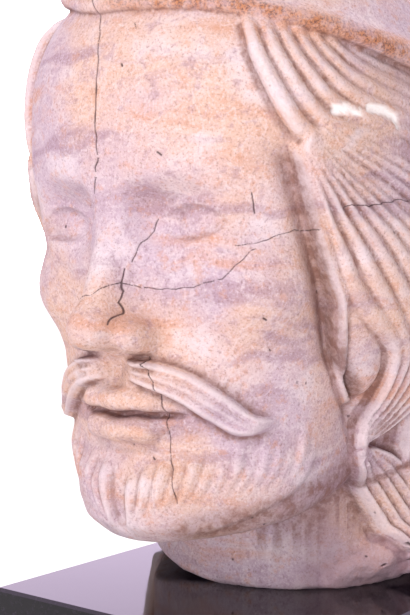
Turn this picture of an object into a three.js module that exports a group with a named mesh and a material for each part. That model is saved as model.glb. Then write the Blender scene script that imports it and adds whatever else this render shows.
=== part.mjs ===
// A carved stone head with a short beard, waved hair and a close cap, on a polished block.
// Millimetres, +Z up. The origin is the middle of the block's underside and the face looks along -Y.
import * as THREE from 'three';

// Driving dimensions
const HEAD_HEIGHT = 230; // chin to crown of the skull, life size
const PLINTH_WIDTH = 150;
const PLINTH_DEPTH = 210;
const PLINTH_HEIGHT = 60;
const PLINTH_BEVEL = 1.2;
const NECK_TO_LEFT_EDGE = 62; // from the middle of the neck to the block's -X side
const NECK_TO_BACK_EDGE = 91.4; // from the middle of the neck to the block's +Y side

// The sculpture's own proportions are written for a head 230 tall and follow HEAD_HEIGHT.
// z = 0 is the sawn foot of the neck, x = 0 the middle of the face, y = 0 the middle of the neck.
const DRAWN_HEIGHT = 230;
const SHARE = HEAD_HEIGHT / DRAWN_HEIGHT;

// The form is first meshed finely, then thinned to the flattest facets that keep it
const FACE_CELL = 2;
const HAIR_CELL = 4.4;
const HEAD_TRIANGLES = 9400;
const MESHED_HALF_WIDTH = 104;
const MESHED_FRONT = -148;
const MESHED_BACK = 104;
const MESHED_TOP = 286;

// Heights and places on the drawn head
const MOUTH = 75.8;
const NOSE_BASE = 98.5;
const EYE = 146;
const BEARD_EDGE = 23; // under the chin
const HAIR_AXIS = -26; // y of the upright axis that the hair is laid out around
const HAIR_REACH = 85; // distance from that axis at which the locks are drawn

const radians = THREE.MathUtils.degToRad;
const degrees = THREE.MathUtils.radToDeg;
const clamp = THREE.MathUtils.clamp;
const mix = THREE.MathUtils.lerp;

// Goes smoothly from 0 at start to 1 at end
function ease(start, end, v) {
  const share = clamp((v - start) / (end - start), 0, 1);
  return share * share * (3 - 2 * share);
}

function bump(v, centre, width) {
  return Math.exp(-(((v - centre) / width) ** 2));
}

// Joins two distance fields with a fillet of about k
function join(a, b, k) {
  const h = clamp(0.5 + (0.5 * (b - a)) / k, 0, 1);
  return mix(b, a, h) - k * h * (1 - h);
}

// Keeps what lies inside both fields, with a rounded edge of about k
function keep(a, b, k) {
  return -join(-a, -b, k);
}

// Takes b out of a, with a rounded edge of about k
function carve(a, b, k) {
  return keep(a, -b, k);
}

function ellipsoid([x, y, z], centre, radii) {
  const u = (x - centre[0]) / radii[0];
  const v = (y - centre[1]) / radii[1];
  const w = (z - centre[2]) / radii[2];
  const size = Math.hypot(u, v, w);
  const slope = Math.hypot(u / radii[0], v / radii[1], w / radii[2]) + 1e-9;
  return (size * (size - 1)) / slope;
}

// An ellipsoid with squarer shoulders: n = 2 is a plain ellipsoid
function egg(p, centre, radii, n) {
  let total = 0;
  let steep = 0;
  for (let i = 0; i < 3; i++) {
    const u = Math.abs(p[i] - centre[i]) / radii[i] + 1e-6;
    const power = u ** (n - 1);
    total += u * power;
    steep += (power / radii[i]) ** 2;
  }
  const size = total ** (1 / n);
  return (size - 1) / ((size / total) * Math.sqrt(steep));
}

// A round bar from a to b that tapers from radius ra to rb
function bar([x, y, z], a, b, ra, rb) {
  const [dx, dy, dz] = [b[0] - a[0], b[1] - a[1], b[2] - a[2]];
  const [qx, qy, qz] = [x - a[0], y - a[1], z - a[2]];
  const t = clamp((qx * dx + qy * dy + qz * dz) / (dx * dx + dy * dy + dz * dz), 0, 1);
  return Math.hypot(qx - t * dx, qy - t * dy, qz - t * dz) - mix(ra, rb, t);
}

function skull(p) {
  let d = egg(p, [0, -18, 180], [80, 99, 86], 2.3);
  d = join(d, egg(p, [0, -60, 188], [66, 60, 58], 2.4), 16);
  return join(d, egg(p, [0, -54, 128], [62, 56, 74], 2.3), 20);
}

// The bearded jaw, with a rolled lower edge that rises towards the ears
function jaw(p) {
  const d = join(egg(p, [0, -51, 84], [59, 55, 89], 2.3), ellipsoid(p, [0, -90, 47], [27, 22, 25]), 12);
  const rise = 0.3 * (p[1] + 108);
  const roll = 1.6 * bump(p[2], BEARD_EDGE + 6 + rise, 6);
  return keep(d - roll, BEARD_EDGE + rise - p[2], 3);
}

function nose(m) {
  let d = bar(m, [0, -106, 162], [0, -112, 108], 7, 12);
  d = join(d, bar(m, [0, -110, 161], [0, -125, 112], 4.6, 6.6), 7);
  d = join(d, ellipsoid(m, [0, -127, 107.5], [9, 9.5, 8.5]), 6);
  d = join(d, ellipsoid(m, [12, -116, 104.8], [6.2, 10, 7.2]), 4);
  d = keep(d, NOSE_BASE - m[2] - 0.16 * (m[1] + 122), 4);
  return carve(d, ellipsoid(m, [6.4, -120, NOSE_BASE - 0.5], [3.2, 5, 3.4]), 1.4);
}

// Blank almond eyes: a ball between two lids, under a crease
function eye(m, d) {
  const [x, y, z] = m;
  const centre = [31, -92.5, EYE];
  const across = (x - centre[0]) / 17.5;
  const lean = 0.06 * (x - centre[0]);
  const upper = EYE + 0.6 + lean + 7.6 * (1 - across * across);
  const lower = EYE - 0.6 + lean - 5.4 * (1 - across * across);
  let lid = ellipsoid(m, centre, [20, 17.8, 18]);
  lid = carve(lid, Math.max(z - upper, lower - z), 0.7);
  lid += 1.6 * bump(z, upper + 4.2, 1.4) * bump(x, centre[0], 16);
  return join(join(d, lid, 4), ellipsoid(m, centre, [16.4, 14, 14.6]), 0.4);
}

function mouth(m, d) {
  const [x, y, z] = m;
  let upper = bar(m, [0, -113.5, 81], [13, -110, 80.4], 4.8, 4.4);
  upper = join(upper, bar(m, [13, -110, 80.4], [26, -101, 76.4], 4.4, 1.4), 3);
  let lower = bar(m, [0, -112, 69.8], [11, -109.5, 70.2], 5.8, 5.2);
  lower = join(lower, bar(m, [11, -109.5, 70.2], [24, -101, 75.4], 5.2, 1.4), 3);
  d = join(d, join(upper, lower, 1.2), 2.5);
  const line = MOUTH - 0.9 * bump(x, 0, 4) + 0.5 * bump(x, 9, 5);
  const parting = 2.4 * bump(z, line, 1.5) * ease(29, 23, x);
  const philtrum = 1.6 * bump(x, 0, 2.6) * ease(83, 87, z) * ease(98, 93, z);
  const belowLip = 1.6 * bump(z, 61, 4) * bump(x, 0, 15);
  return d + (parting + philtrum + belowLip) * ease(-92, -98, y);
}

function face(p) {
  const m = [Math.sqrt(p[0] * p[0] + 0.6), p[1], p[2]]; // both halves of the face are alike
  let d = join(skull(p), jaw(p), 12);
  d = join(d, ellipsoid(m, [43, -84, 122], [19, 18, 15]), 14); // cheekbones
  d = join(d, ellipsoid(m, [0, -86, 84], [29, 25, 24]), 14); // muzzle
  d = join(d, bar(m, [8, -109, 163], [26, -106, 170], 7, 6.5), 8); // brows
  d = join(d, bar(m, [26, -106, 170], [44, -97, 171], 6.5, 6), 8);
  d = join(d, bar(m, [44, -97, 171], [59, -79, 161], 6, 5), 9);
  d = carve(d, ellipsoid(m, [31, -121.5, 147], [21, 17, 15.5]), 6); // eye hollows
  d = carve(d, ellipsoid(m, [16, -122, 150], [8, 13, 10]), 6);
  d = join(d, nose(m), 7);
  d = eye(m, d);
  return mouth(m, d);
}

// The neck's foot is chipped away at the right front and at the back
function neck([x, y, z]) {
  const side = Math.hypot(x / 60, y / 59);
  const d = keep((side - 1) * 57, z - 90, 10);
  const around = degrees(Math.atan2(x, -y));
  const chip = 8 * bump(around, -50, 30) + 4 * bump(around, 150, 22) + 5 * bump(around, -140, 25);
  return keep(d, chip * ease(0.7, 1, side) - z, 3);
}

// What is left of a broken shoulder at the left front of the neck
function stump(p) {
  return join(bar(p, [47, -34, 7], [58, -14, 12], 5, 9), bar(p, [58, -14, 12], [61, 8, 15], 9, 9), 4);
}

// How far a place is below the cap's edge: level over the brow, lower at the left ear and
// higher at the right
function belowRim([x, y, z]) {
  const leftSide = -0.1 * clamp(y + 110, 0, 80) * ease(10, 50, x);
  const rightSide = 14 * ease(5, 65, -x);
  return 213.4 - 0.05 * x - 0.1 * y + (leftSide + rightSide) * ease(95, 10, y) - z;
}

function cap(p) {
  const d = egg(p, [0, -18, 182], [86, 105, 93], 2.3);
  const below = belowRim(p);
  return keep(d - 3 * bump(below, -5, 5), below, 3);
}

// Angle from the middle of the face at which the hair begins
function hairline(z) {
  return 36.5 + 0.235 * (206 - z) + 7 * ease(100, 80, z);
}

function setBack(side, z) {
  return side < 0 ? 9 * ease(150, 215, z) : 0;
}

function angleFromFace([x, y]) {
  return degrees(Math.atan2(Math.abs(x), HAIR_AXIS - y));
}

function hair(p) {
  const [x, y, z] = p;
  let d = egg(p, [0, -12, 150], [82, 92, 104], 2.3);
  const nape = keep((Math.hypot(x / 64, (y - 8) / 63) - 1) * 60, z - 110, 20);
  d = join(d, nape, 22);
  d = keep(d, (hairline(z) + setBack(x, z) - angleFromFace(p)) * 1.4, 5);
  const belowHair = clamp(60 - 1.41 * (y + 47), 5, 60) - z;
  return keep(d, belowHair * 0.6, 5);
}

// A groove sunk in the cheek and temple, just in front of the hair
function hollow(p) {
  const ahead = (hairline(p[2]) - angleFromFace(p)) * 1.3;
  return 3.2 * bump(ahead, 2.5, 4.5) * ease(60, 80, p[2]) * ease(180, 166, p[2]);
}

// Points along a smooth curve through the given [angle, height] pairs, unrolled to [along, height]
function guide(side, pairs, steps) {
  const points = pairs.map(
    ([angle, z]) => new THREE.Vector3(side * radians(angle + setBack(side, z)) * HAIR_REACH, z, 0),
  );
  return new THREE.CatmullRomCurve3(points).getPoints(steps);
}

// A lock lies between two guides and is domed across its width
function lock(side, one, two, rise) {
  const steps = 16;
  const a = guide(side, one, steps);
  const b = guide(side, two, steps);
  const middle = a.map((p, i) => p.clone().add(b[i]).multiplyScalar(0.5));
  const half = a.map((p, i) => Math.max(p.distanceTo(b[i]) / 2, 2.5));
  const box = new THREE.Box3().setFromPoints([...a, ...b]).expandByScalar(2);
  box.min.z = -1;
  box.max.z = 1;
  return { middle, half, rise, box };
}

// Locks at the temples and round the ears, the same on both sides
const SIDE_LOCKS = [
  // temple, down from the rim and back to a curled end
  {
    one: [[31, 236], [35, 206], [42, 183], [46, 176], [54, 173], [66, 173], [78, 163], [81, 151]],
    two: [[44, 240], [47, 212], [51, 195], [57, 191.5], [67, 191], [77, 189], [86, 170], [83, 152]],
    rise: 6.6,
  },
  // above it, under the rim
  {
    one: [[46, 240], [50, 214], [58, 196], [69, 194], [82, 192], [90, 185], [94, 174], [94, 158]],
    two: [[56, 240], [62, 216], [67, 210], [76, 207], [88, 204], [98, 196], [103, 182], [97, 156]],
    rise: 6.2,
  },
  // a narrow lock along the front of the hair
  {
    one: [[42.5, 179], [44.2, 169], [46.6, 156.6], [49.5, 144.2], [52, 135], [54.6, 126], [57.2, 118]],
    two: [[47.5, 179], [49.2, 169], [51.6, 156.6], [54.5, 144.2], [56.8, 135], [59.4, 126], [61.4, 118]],
    rise: 5,
  },
  // cheek, curling back round the ear lobe to a knot
  {
    one: [[47.5, 167], [53.5, 141], [60, 122], [72, 107], [80, 92], [79.5, 80], [76.8, 68], [76.4, 58.5]],
    two: [[48, 182], [69, 159], [95, 134], [103, 117], [105, 100], [100, 79], [88, 63], [77.5, 57.5]],
    rise: 7,
  },
  // behind it, down to the nape
  {
    one: [[49, 182], [82, 148], [103, 117], [105, 100], [103, 84], [98, 60], [104, 36], [111, 18]],
    two: [[57, 188], [87, 177], [114, 148], [122, 128], [125, 108], [121, 70], [119, 54], [114, 16]],
    rise: 6.6,
  },
  // behind the ear
  {
    one: [[94, 191], [104, 164], [113, 149], [125, 110], [125, 92], [119, 59], [119, 42], [117, 20]],
    two: [[106, 210], [117, 173], [124, 153], [135, 114], [136, 94], [132, 58], [131, 40], [124, 18]],
    rise: 6.2,
  },
  // above it, from the rim down
  {
    one: [[95, 218], [104, 206], [109, 191], [110, 176], [113, 160]],
    two: [[110, 220], [116, 207], [121, 193], [123, 176], [124, 156]],
    rise: 5.6,
  },
  // ear lobe
  {
    one: [[60, 120], [60.8, 112], [61.5, 103], [62.5, 95], [64, 87], [68, 80.5]],
    two: [[61, 120], [66, 111], [72.5, 103], [78, 95], [78.5, 87], [74.5, 80]],
    rise: 4.6,
  },
  // neck, down from the knot
  {
    one: [[76.6, 59], [78.5, 50], [83, 41], [90, 29], [96, 17], [101, 6]],
    two: [[77.3, 60], [83, 55], [91, 47], [99, 35], [105.5, 22], [111, 7]],
    rise: 6,
  },
  // neck, further back
  {
    one: [[77.3, 60], [84, 56], [93, 48], [101, 37], [108, 24], [114, 8]],
    two: [[78, 61], [88, 59], [99, 53], [108, 41], [115, 27], [121, 9]],
    rise: 5.8,
  },
];

// Waved locks round the back of the head, from behind one ear to behind the other: the sway in
// degrees at each height
const BACK_LOCKS = { count: 8, start: 125, width: 13.75, rise: 6.4 };
const BACK_WAVE = [[-2, 218], [4, 190], [3, 162], [-3, 134], [-1, 106], [4, 80], [2, 54]];

function backLock(k, lap) {
  const start = BACK_LOCKS.start + BACK_LOCKS.width * k - lap;
  const foot = 20 + 7 * Math.sin(2.1 * k);
  const edge = (angle, towards) => [
    ...BACK_WAVE.map(([sway, z]) => [angle + sway, z]),
    [start + BACK_LOCKS.width / 2 + towards, foot],
  ];
  return lock(1, edge(start, -2.5), edge(start + BACK_LOCKS.width, 2.5), BACK_LOCKS.rise);
}

// Beard locks: they start upright between a front and a back line and sweep forward to the chin's
// tip. The drooping moustache lies above them. All are drawn as [along, height] in millimetres.
const BEARD = {
  front: [[4, 58], [4, 50], [3.6, 42], [3, 35], [2, 29]],
  back: [[86, 74], [84, 61], [73, 48], [46, 36], [13, 26]],
  locks: 8,
  rise: 2,
};
const MOUSTACHE = {
  one: [[3, 97], [16, 96], [30, 92], [43, 84], [54, 76.5], [66, 74]],
  two: [[3, 89], [14, 86.5], [26, 81], [37, 74], [48, 69], [64, 71.5]],
  rise: 4.6,
};

function inDegrees(points) {
  return points.map(([along, z]) => [degrees(along / HAIR_REACH), z]);
}

// The line this share of the way from the beard's front line to its back line
function beardLine(share) {
  const between = BEARD.front.map((front, i) => front.map((v, j) => mix(v, BEARD.back[i][j], share)));
  return inDegrees(between);
}

function beardLock(side, k) {
  return lock(side, beardLine(k / BEARD.locks), beardLine((k + 1) / BEARD.locks), BEARD.rise);
}

const locks = [];
for (const side of [1, -1]) {
  for (const { one, two, rise } of SIDE_LOCKS) locks.push(lock(side, one, two, rise));
  locks.push(lock(side, inDegrees(MOUSTACHE.one), inDegrees(MOUSTACHE.two), MOUSTACHE.rise));
  for (let k = 0; k < BEARD.locks; k++) locks.push(beardLock(side, k));
}
for (let k = 0; k < BACK_LOCKS.count; k++) {
  for (const lap of [0, 360]) locks.push(backLock(k, lap)); // angles either side of the back's middle
}

// How far the locks stand out of the stone at a place on it
function lockHeight([x, y, z]) {
  const here = new THREE.Vector3(Math.atan2(x, HAIR_AXIS - y) * HAIR_REACH, z, 0);
  let highest = 0;
  for (const { middle, half, rise, box } of locks) {
    if (!box.containsPoint(here)) continue;
    for (let i = 0; i < middle.length - 1; i++) {
      const a = middle[i];
      const dx = middle[i + 1].x - a.x;
      const dz = middle[i + 1].y - a.y;
      const t = clamp(((here.x - a.x) * dx + (here.y - a.y) * dz) / (dx * dx + dz * dz), 0, 1);
      const off = Math.hypot(here.x - a.x - t * dx, here.y - a.y - t * dz) / mix(half[i], half[i + 1], t);
      if (off < 1) highest = Math.max(highest, rise * (1 - off * off));
    }
  }
  return highest;
}

// The whole head: negative inside the stone
function head(p) {
  let d = face(p);
  if (Math.abs(d) < 20) d += hollow(p);
  d = join(d, neck(p), 2);
  d = join(d, stump(p), 2);
  d = join(d, hair(p), 2);
  if (Math.abs(d) < 20) d -= lockHeight(p) * (0.4 + 0.6 * ease(-2, 18, belowRim(p)));
  d = join(d, cap(p), 1);
  return keep(d, -p[2], 0.1);
}

// Grid lines from low to high, spaced by cell(v)
function gridLines(low, high, cell) {
  const lines = [low];
  while (lines[lines.length - 1] < high) {
    const last = lines[lines.length - 1];
    lines.push(last + cell(last));
  }
  return lines;
}

// The field's value at each crossing of the grid lines. Where it is far from zero, the places
// nearer than that share its sign and are filled in with it.
function sampleField(field, lines, place) {
  const surelyClear = 0.35;
  const values = new Float64Array(lines[0].length * lines[1].length * lines[2].length);
  lines[0].forEach((x, i) => {
    lines[1].forEach((y, j) => {
      let k = 0;
      while (k < lines[2].length) {
        const z = lines[2][k];
        const value = field([x, y, z]);
        do {
          values[place(i, j, k)] = value;
          k += 1;
        } while (k < lines[2].length && lines[2][k] - z < Math.abs(value) * surelyClear);
      }
    });
  });
  return values;
}

// Whether a cell's chosen corners hang together along its edges. Bits 0, 1 and 2 of a corner's
// number are its steps along x, y and z.
function hangTogether(chosen) {
  let reached = chosen & -chosen;
  for (let pass = 0; pass < 4; pass++) {
    for (let corner = 0; corner < 8; corner++) {
      if (!(reached & (1 << corner))) continue;
      for (const step of [1, 2, 4]) reached |= chosen & (1 << (corner ^ step));
    }
  }
  return reached === chosen;
}

// Nudges single values across zero until the surface nowhere pinches itself in a cell
function removePinches(values, count, place) {
  const nudge = 0.02;
  const isSound = (_, inside) => hangTogether(inside) && hangTogether(255 ^ inside);
  const sound = Array.from({ length: 256 }, isSound);
  let found = true;
  while (found) {
    found = false;
    for (let i = 0; i < count[0] - 1; i++) {
      for (let j = 0; j < count[1] - 1; j++) {
        for (let k = 0; k < count[2] - 1; k++) {
          const corner = (c) => place(i + (c & 1), j + ((c >> 1) & 1), k + (c >> 2));
          let inside = 0;
          for (let c = 0; c < 8; c++) if (values[corner(c)] < 0) inside |= 1 << c;
          if (sound[inside]) continue;
          const fromInside = !hangTogether(inside);
          const loose = [0, 1, 2, 3, 4, 5, 6, 7].map(corner).filter((at) => values[at] < 0 === fromInside);
          const weakest = loose.reduce((a, b) => (Math.abs(values[a]) < Math.abs(values[b]) ? a : b));
          values[weakest] = fromInside ? nudge : -nudge;
          found = true;
        }
      }
    }
  }
}

// A closed mesh of the surface where the field is zero, with one vertex in each grid cell that
// the surface passes through and two triangles across each grid edge that it cuts
function meshField(field, lines) {
  const count = lines.map((line) => line.length);
  const place = (i, j, k) => (i * count[1] + j) * count[2] + k;
  const values = sampleField(field, lines, place);
  removePinches(values, count, place);

  const vertexOf = new Map();
  const sums = [];
  function cellVertex(i, j, k, crossing) {
    const key = place(i, j, k);
    if (!vertexOf.has(key)) {
      vertexOf.set(key, sums.length);
      sums.push([0, 0, 0, 0]);
    }
    const sum = sums[vertexOf.get(key)];
    crossing.forEach((v, axis) => (sum[axis] += v));
    sum[3] += 1;
    return vertexOf.get(key);
  }

  const triangles = [];
  for (let axis = 0; axis < 3; axis++) {
    const next = (axis + 1) % 3;
    const last = (axis + 2) % 3;
    const at = [0, 0, 0];
    for (at[axis] = 0; at[axis] < count[axis] - 1; at[axis]++) {
      for (at[next] = 1; at[next] < count[next] - 1; at[next]++) {
        for (at[last] = 1; at[last] < count[last] - 1; at[last]++) {
          const end = [...at];
          end[axis] += 1;
          const near = values[place(...at)];
          const far = values[place(...end)];
          if (near < 0 === far < 0) continue;
          const crossing = at.map((index, a) => lines[a][index]);
          crossing[axis] = mix(lines[axis][at[axis]], lines[axis][end[axis]], near / (near - far));
          const ring = [[0, 0], [-1, 0], [-1, -1], [0, -1]].map(([b, c]) => {
            const cell = [...at];
            cell[next] += b;
            cell[last] += c;
            return cellVertex(...cell, crossing);
          });
          const [a, b, c, d] = near < 0 ? ring : ring.reverse();
          triangles.push([a, b, c], [a, c, d]);
        }
      }
    }
  }
  const points = sums.map(([x, y, z, hits]) => [x / hits, y / hits, z / hits]);
  return { points, triangles };
}

// Moves each vertex along the slope onto the surface, never further than reach at a time
function settle(field, points, reach) {
  const gap = 0.2;
  const passes = 2;
  for (const p of points) {
    for (let pass = 0; pass < passes; pass++) {
      const value = field(p);
      const slope = p.map((v, axis) => (field(p.with(axis, v + gap)) - value) / gap);
      const steep = slope.reduce((sum, v) => sum + v * v, 1e-6);
      const most = reach / Math.sqrt(steep);
      const move = clamp(-value / steep, -most, most);
      slope.forEach((v, axis) => (p[axis] += v * move));
    }
  }
}

function minus(a, b) {
  return [a[0] - b[0], a[1] - b[1], a[2] - b[2]];
}

function dot(a, b) {
  return a[0] * b[0] + a[1] * b[1] + a[2] * b[2];
}

// Normal of a triangle, as long as twice its area
function normalOf([a, b, c]) {
  const [u, v] = [minus(b, a), minus(c, a)];
  return [u[1] * v[2] - u[2] * v[1], u[2] * v[0] - u[0] * v[2], u[0] * v[1] - u[1] * v[0]];
}

// Ten numbers from which strayFrom tells how far a place strays from a triangle's plane
function planeOf(corners) {
  const normal = normalOf(corners);
  const size = Math.sqrt(dot(normal, normal)) + 1e-12;
  const [x, y, z] = normal.map((v) => v / size);
  const w = -dot([x, y, z], corners[0]);
  return [x * x, x * y, x * z, x * w, y * y, y * z, y * w, z * z, z * w, w * w].map((v) => v * size);
}

function strayFrom(q, [x, y, z]) {
  const cross = q[1] * x * y + q[2] * x * z + q[3] * x + q[5] * y * z + q[6] * y + q[8] * z;
  return q[0] * x * x + q[4] * y * y + q[7] * z * z + 2 * cross + q[9];
}

// How much more closely the eyes, nose and mouth are kept than the rest
function careAt([x, y, z]) {
  return 1 + 24 * ease(-72, -80, y) * ease(58, 66, z) * ease(172, 162, z) * ease(56, 48, Math.abs(x));
}

// Merges pairs of neighbouring vertices, those that change the surface least first, until no
// more triangles than wanted are left
function thin({ points, triangles }, wanted) {
  const planes = points.map(() => new Float64Array(10));
  const around = points.map(() => new Set());
  triangles.forEach((triangle, t) => {
    const care = careAt(points[triangle[0]]);
    const plane = planeOf(triangle.map((v) => points[v])).map((value) => value * care);
    for (const v of triangle) {
      around[v].add(t);
      plane.forEach((value, i) => (planes[v][i] += value));
    }
  });
  const ringOf = (v) => new Set([...around[v]].flatMap((t) => triangles[t]).filter((other) => other !== v));

  function cheapestSpot(a, b) {
    const middle = points[a].map((v, axis) => (v + points[b][axis]) / 2);
    const both = planes[a].map((v, i) => v + planes[b][i]);
    const spots = [points[a], points[b], middle].map((spot) => ({ a, b, spot, cost: strayFrom(both, spot) }));
    return spots.reduce((best, other) => (other.cost < best.cost ? other : best));
  }

  // A merge may neither fold a triangle over, draw one out thin nor join two parts of the surface
  function mayMerge({ a, b, spot }) {
    const ring = ringOf(a);
    if ([...ringOf(b)].filter((v) => ring.has(v)).length !== 2) return false;
    return [a, b].every((moved) =>
      [...around[moved]].every((t) => {
        const triangle = triangles[t];
        if (triangle.includes(a) && triangle.includes(b)) return true;
        const corners = triangle.map((v) => (v === moved ? spot : points[v]));
        const before = normalOf(triangle.map((v) => points[v]));
        const after = normalOf(corners);
        const area = Math.sqrt(dot(after, after));
        const sides = corners.map((corner, i) => minus(corner, corners[(i + 1) % 3]));
        const longest = Math.max(...sides.map((side) => dot(side, side)));
        return dot(before, after) > 0.5 * area * Math.sqrt(dot(before, before)) && area > 0.12 * longest;
      }),
    );
  }

  let left = triangles.length;
  while (left > wanted) {
    const merges = [];
    around.forEach((_, a) => {
      for (const b of ringOf(a)) if (a < b) merges.push(cheapestSpot(a, b));
    });
    merges.sort((one, two) => one.cost - two.cost);
    const touched = new Set();
    let quota = Math.ceil(merges.length / 12);
    for (const merge of merges) {
      const { a, b, spot } = merge;
      if (quota === 0 || left <= wanted) break;
      if (touched.has(a) || touched.has(b) || !mayMerge(merge)) continue;
      for (const v of [...ringOf(a), ...ringOf(b)]) touched.add(v);
      points[a] = spot;
      planes[b].forEach((value, i) => (planes[a][i] += value));
      for (const t of around[b]) {
        if (triangles[t].includes(a)) {
          for (const v of triangles[t]) if (v !== b) around[v].delete(t);
          triangles[t] = null;
        } else {
          triangles[t] = triangles[t].map((v) => (v === b ? a : v));
          around[a].add(t);
        }
      }
      around[b].clear();
      left -= 2;
      quota -= 1;
    }
    if (touched.size === 0) break;
  }
  return { points, triangles: triangles.filter((triangle) => triangle !== null) };
}

function toGeometry({ points, triangles }) {
  const used = [...new Set(triangles.flat())];
  const index = new Map(used.map((v, i) => [v, i]));
  const geometry = new THREE.BufferGeometry();
  geometry.setAttribute('position', new THREE.Float32BufferAttribute(used.flatMap((v) => points[v]), 3));
  geometry.setIndex(triangles.flat().map((v) => index.get(v)));
  geometry.computeVertexNormals();
  return geometry;
}

function headGeometry() {
  const cell = (share) => mix(FACE_CELL, HAIR_CELL, share);
  const lines = [
    gridLines(-MESHED_HALF_WIDTH, MESHED_HALF_WIDTH, (x) => cell(ease(40, 75, Math.abs(x)))),
    gridLines(MESHED_FRONT, MESHED_BACK, (y) => cell(ease(-70, -15, y))),
    gridLines(-FACE_CELL / 2, MESHED_TOP, (z) => cell(0.6 * ease(30, 90, Math.abs(z - 115)))),
  ];
  const fine = meshField(head, lines);
  settle(head, fine.points, FACE_CELL / 4);
  for (const p of fine.points) {
    if (p[2] < 0.3) p[2] = 0;
  }
  const surface = thin(fine, HEAD_TRIANGLES);
  return toGeometry(surface).scale(SHARE, SHARE, SHARE);
}

// A block with its upright and top edges bevelled, lying from z = 0 up
function plinthGeometry() {
  const x = PLINTH_WIDTH / 2 - PLINTH_BEVEL;
  const y = PLINTH_DEPTH / 2 - PLINTH_BEVEL;
  const outline = new THREE.Shape([[-x, -y], [x, -y], [x, y], [-x, y]].map((p) => new THREE.Vector2(...p)));
  const geometry = new THREE.ExtrudeGeometry(outline, {
    depth: PLINTH_HEIGHT - 2 * PLINTH_BEVEL,
    bevelSize: PLINTH_BEVEL,
    bevelThickness: PLINTH_BEVEL,
    bevelSegments: 1,
  });
  return geometry.translate(0, 0, PLINTH_BEVEL);
}

const stone = new THREE.MeshStandardMaterial({ color: '#cfb8ae', roughness: 0.85, metalness: 0 });
const polishedBlack = new THREE.MeshStandardMaterial({ color: '#100d14', roughness: 0.12, metalness: 0 });

const plinth = new THREE.Mesh(plinthGeometry(), polishedBlack);
plinth.name = 'plinth';

const carvedHead = new THREE.Mesh(headGeometry(), stone);
carvedHead.name = 'head';
carvedHead.position.set(
  NECK_TO_LEFT_EDGE - PLINTH_WIDTH / 2,
  PLINTH_DEPTH / 2 - NECK_TO_BACK_EDGE,
  PLINTH_HEIGHT,
);

const sculpture = new THREE.Group();
sculpture.add(plinth, carvedHead);

export default sculpture;
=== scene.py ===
"""A carved stone head with a short beard, waved hair and a close cap, on a polished black block.

The head is worked out in millimetres: +x is the figure's left, the face looks along -y, +z is up,
and the origin is the middle of the sawn foot of the neck, on top of the block.
"""

import itertools
import math

import bmesh
import bpy
import numpy as np
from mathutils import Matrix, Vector


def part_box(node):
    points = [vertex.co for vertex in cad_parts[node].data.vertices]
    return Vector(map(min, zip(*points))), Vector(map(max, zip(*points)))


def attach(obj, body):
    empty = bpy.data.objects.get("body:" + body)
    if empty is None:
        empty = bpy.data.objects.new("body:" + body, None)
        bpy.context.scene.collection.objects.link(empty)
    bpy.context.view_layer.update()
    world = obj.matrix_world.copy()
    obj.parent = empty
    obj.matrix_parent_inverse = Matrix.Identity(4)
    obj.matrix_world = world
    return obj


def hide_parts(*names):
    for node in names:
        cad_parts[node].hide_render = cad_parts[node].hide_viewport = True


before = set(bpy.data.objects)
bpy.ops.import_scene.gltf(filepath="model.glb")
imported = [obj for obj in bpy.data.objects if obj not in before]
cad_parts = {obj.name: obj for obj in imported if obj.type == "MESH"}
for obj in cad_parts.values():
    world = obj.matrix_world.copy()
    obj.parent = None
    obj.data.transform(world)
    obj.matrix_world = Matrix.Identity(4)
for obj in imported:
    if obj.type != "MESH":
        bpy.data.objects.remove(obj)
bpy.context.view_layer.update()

METRES = 0.001  # one millimetre

# Where the middle of the neck stands on the block
NECK_TO_LEFT_EDGE = 62
NECK_TO_BACK_EDGE = 91.4

# Places on the head
EYE_HEIGHT = 146
NOSE_BASE = 98.5
MOUTH_HEIGHT = 75.8
BEARD_EDGE = 23
HAIR_AXIS = -26  # y of the upright axis that the hair is laid out around
HAIR_REACH = 85  # distance from that axis at which the locks are drawn

# Mesh sizes
MESH_CELL = 1.2
MESHED_SPANS = [(-104, 104), (-148, 106), (-2, 286)]  # the head lies within these
HEAD_TRIANGLES = 165000
CRACK_CELL = 0.4
CRACK_REACH = 1.6  # how far round a crack the mesh is refined

# The sheet that the hair is drawn on goes just over half the way round to each side
SHEET_CELL = 0.6
SHEET_HALF_LENGTH = 270
SHEET_FOOT = -6
SHEET_TOP = 262
LINE_SAMPLES = 60
LOBE_SAMPLES = 24
STRAND_SHARE = 0.52  # a strand's half width as a share of its spacing, so neighbours just overlap
LEAST_HALF_WIDTH = 0.8
GAP_DEPTH = 2.6  # how deep a gap between locks may be
HOLLOW_DEPTH = 3.2


def ease(low, high, value):
    """Rises smoothly from 0 at low to 1 at high."""
    share = np.clip((value - low) / (high - low), 0, 1)
    return share * share * (3 - 2 * share)


def bump(value, centre, width):
    """1 at the centre, falling away over about width."""
    return np.exp(-(((value - centre) / width) ** 2))


# Distance fields: negative inside the stone. A place p is three arrays x, y and z.


def join(a, b, fillet):
    share = np.clip(0.5 + 0.5 * (b - a) / fillet, 0, 1)
    return b + (a - b) * share - fillet * share * (1 - share)


def keep(a, b, round_off):
    """What lies inside both."""
    return -join(-a, -b, round_off)


def carve(a, b, round_off):
    """a without b."""
    return keep(a, -b, round_off)


def ellipsoid(p, centre, radii):
    scaled = [(p[i] - centre[i]) / radii[i] for i in range(3)]
    size = np.sqrt(sum(v**2 for v in scaled))
    slope = np.sqrt(sum((v / r) ** 2 for v, r in zip(scaled, radii))) + 1e-9
    return size * (size - 1) / slope


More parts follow.
